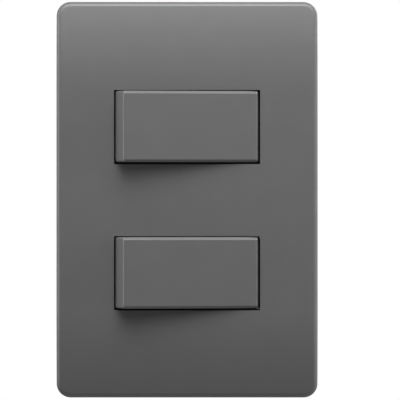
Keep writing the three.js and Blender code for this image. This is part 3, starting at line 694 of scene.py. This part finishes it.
def screw(name, node, way, head, cross, shank, pitch):
    """A screw along Y whose head points to `way`. The head's profile runs from the rim of its driving face to
    the seat, as (radius, distance from the driving face). `cross` is the recess's half length, half width and
    depth, and `shank` the radius and the point's length."""
    low, high = node_box(node)
    centre = (low + high) / 2
    face, point = (low.y, high.y) if way < 0 else (high.y, low.y)
    half_length, half_width, depth = cross
    radius, point_length = shank
    corners = [math.degrees(math.atan2(half_width, half_length)), 45,
               math.degrees(math.atan2(half_length, half_width))]
    angles = sorted({round(a, 4) for a in [360 * i / SCREW_STEPS for i in range(SCREW_STEPS)]
                     + [quarter + corner for quarter in (0, 90, 180, 270) for corner in corners]})
    angles = [math.radians(a) for a in angles]

    def ring(y, reach):
        radii = [reach(a) if callable(reach) else reach for a in angles]
        return [(centre.x + r * math.cos(a), y, centre.z + r * math.sin(a)) for r, a in zip(radii, angles)]

    def recess(share):
        return lambda a: share * cross_radius(a, half_length, half_width)

    inward = -way
    loops = [ring(face + inward * depth, recess(0.6)), ring(face + inward * 0.12, recess(1.0)),
             ring(face, recess(1.08))]
    loops += [ring(face + inward * distance, r) for r, distance in head]
    seat = face + inward * head[-1][1]
    root = radius - THREAD_DEPTH * pitch
    start, end = seat + inward * NECK, point - inward * point_length
    loops.append(ring(seat, root))
    loops.append(ring(start, root))
    rows = round(abs(end - start) / pitch * 6)
    for i, y in enumerate(between(start, end, rows)[1:]):
        fade = min(1.0, i / 5)

        def thread(a, y=y, fade=fade):
            phase = (y / pitch - a / (2 * math.pi)) % 1
            return root + (radius - root) * fade * (1 - abs(2 * phase - 1))

        loops.append(ring(y, thread))
    loops.append(ring(point, root - 0.4))
    sheet = Sheet()
    sheet.loft(loops)
    attach(sheet.build(name, ZINC, sharp=50, weighted=False), "switch_body", "zinc_steel", node)


PAN_HEAD = [(1.95, 0), (2.7, 0.15), (3.2, 0.5), (3.42, 0.95), (3.5, 1.4), (3.5, 2.1), (3.4, 2.2)]
TERMINAL_HEAD = [(2.35, 0), (2.6, 0.08), (2.8, 0.35), (2.8, 1.8), (2.7, 1.9)]


# ---------------------------------------------------------------- kept CAD nodes

def keep(node, material, bevel):
    """A CAD node that is shown as it is, with its edges broken and a material of its own."""
    piece = frame["nodes"][node]
    piece.data.materials.clear()
    piece.data.materials.append(material)
    for polygon in piece.data.polygons:
        polygon.use_smooth = True
    weld = piece.modifiers.new("weld", "WELD")
    weld.merge_threshold = 0.002 * MM
    flat = piece.modifiers.new("flat", "DECIMATE")
    flat.decimate_type = "DISSOLVE"
    flat.angle_limit = math.radians(1)
    edges = piece.modifiers.new("edges", "BEVEL")
    edges.width = bevel * MM
    edges.segments = 2
    edges.limit_method = "ANGLE"
    edges.angle_limit = math.radians(40)
    normals = piece.modifiers.new("normals", "WEIGHTED_NORMAL")
    normals.weight = 100


# ---------------------------------------------------------------- assembly

cover_plate()
keep("support_frame", DARK, 0.2)
for module in MODULES:
    rocker(module)
    plunger(module)
    spring(module)
    low, high = node_box(f"{module}_fixed_contact")
    fixed = (low + high) / 2
    rivet(f"{module}_moving_rivet", f"{module}_moving_contact", -0.4, 0.4, 1, f"{module}_contact_body",
          CONTACT_PIVOT[module] + CONTACT_TILT @ Vector((MOVING_CONTACT_X, 0, 0)), CONTACT_TILT)
    rivet(f"{module}_fixed_rivet", f"{module}_fixed_contact", 13.7, 14.5, -1, "switch_body",
          Vector((fixed.x, PIVOT[module].y, PIVOT[module].z)))
    keep(f"{module}_contact_bar", BRASS, 0.06)
    keep(f"{module}_module_cover", DARK, 0.15)
    keep(f"{module}_module_base", PALE, 0.2)
    screw(f"{module}_wall_screw", f"{module}_mounting_screw", -1, PAN_HEAD, (2.0, 0.45, 1.2), (1.7, 1.0), 0.8)
    for terminal in ("common", "fixed"):
        keep(f"{module}_{terminal}_terminal", BRASS, 0.06)
        keep(f"{module}_{terminal}_clamp", ZINC, 0.08)
        screw(f"{module}_{terminal}_clamp_screw", f"{module}_{terminal}_screw", 1, TERMINAL_HEAD,
              (1.8, 0.4, 1.1), (1.45, 0.5), 0.5)


# ---------------------------------------------------------------- stage and light

FLOOR_RADIUS, FLOOR_Z = 300, -120
OVERHEAD_DISTANCE, OVERHEAD_SIZE = 0.5, (0.5, 0.12)
OVERHEAD = ((35, 0.73), (50, 1.68), (62, 1.98), (72, 1.08))  # degrees above the horizon, watts
# sine of the height above the horizon, and brightness there
DOME = ((-1, 0.81), (-0.4, 0.0), (-0.12, 0.0), (0, 0.07), (0.12, 1.15), (0.25, 0.0), (1, 0.03))


def area_light(name, place, size, power, glossy=True):
    """A soft lamp that points at the origin. Places and sizes are in metres here."""
    data = bpy.data.lights.new(name, "AREA")
    data.shape = "RECTANGLE"
    data.size, data.size_y = size
    data.energy = power
    light = bpy.data.objects.new(name, data)
    light.location = place
    light.rotation_euler = (-Vector(place)).to_track_quat("-Z", "Y").to_euler()
    light.visible_glossy = glossy
    bpy.context.scene.collection.objects.link(light)


def floor():
    """A white disc below the switch, which neither lights nor shades it."""
    n = Nodes("floor")
    n.link(n.between(n.remap(n.noise(40), 0, 1), (0.8, 0.8, 0.79), 0.02), n.shader.inputs["Base Color"])
    n.shader.inputs["Roughness"].default_value = 0.8
    sheet = Sheet()
    rim = [(FLOOR_RADIUS * math.cos(a), FLOOR_RADIUS * math.sin(a), FLOOR_Z) for a in arc(0, 360, 96)[:-1]]
    sheet.face(*rim)
    disc = sheet.build("floor", n.material)
    disc.visible_diffuse = disc.visible_glossy = disc.visible_shadow = False
    disc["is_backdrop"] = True


def studio():
    """A dome with a bright band above the horizon and a bright ground, white where the camera sees it."""
    world = bpy.data.worlds.new("studio")
    bpy.context.scene.world = world
    world.use_nodes = True
    tree = world.node_tree
    tree.nodes.clear()

    def new(kind):
        return tree.nodes.new(kind)

    way, split, ramp, soft = (new(kind) for kind in ("ShaderNodeTexCoord", "ShaderNodeSeparateXYZ",
                                                     "ShaderNodeValToRGB", "ShaderNodeBackground"))
    height = new("ShaderNodeMapRange")
    height.inputs["From Min"].default_value = -1
    while len(ramp.color_ramp.elements) > 1:
        ramp.color_ramp.elements.remove(ramp.color_ramp.elements[-1])
    ramp.color_ramp.elements[0].position = 0
    for z, _ in DOME[1:]:
        ramp.color_ramp.elements.new((z + 1) / 2)
    for element, (_, level) in zip(ramp.color_ramp.elements, DOME):
        element.color = (level, level, level, 1)
    seen, mix, path, output = (new(kind) for kind in ("ShaderNodeBackground", "ShaderNodeMixShader",
                                                      "ShaderNodeLightPath", "ShaderNodeOutputWorld"))
    seen.inputs["Color"].default_value = (1, 1, 1, 1)
    for source, target in ((way.outputs["Generated"], split.inputs[0]),
                           (split.outputs["Z"], height.inputs["Value"]),
                           (height.outputs["Result"], ramp.inputs["Fac"]),
                           (ramp.outputs["Color"], soft.inputs["Color"]),
                           (path.outputs["Is Camera Ray"], mix.inputs[0]),
                           (soft.outputs[0], mix.inputs[1]),
                           (seen.outputs[0], mix.inputs[2]),
                           (mix.outputs[0], output.inputs["Surface"])):
        tree.links.new(source, target)


floor()
studio()
for height, power in OVERHEAD:
    way = math.radians(height)
    place = (0, -OVERHEAD_DISTANCE * math.cos(way), OVERHEAD_DISTANCE * math.sin(way))
    area_light(f"overhead_{height}", place, OVERHEAD_SIZE, power)
area_light("left", (-0.7, -0.1, 0.15), (0.2, 0.8), 3.3)
area_light("left_rim", (-0.7, 0.06, 0.15), (0.1, 0.8), 2.0, glossy=False)
area_light("right", (0.7, -0.1, 0.15), (0.2, 0.8), 6.8, glossy=False)
area_light("right_rim", (0.7, 0.09, 0.15), (0.2, 0.8), 4.8, glossy=False)
area_light("back", (0.4, 0.9, 0.5), (1.0, 0.8), 8)

bpy.context.view_layer.update()
low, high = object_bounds()
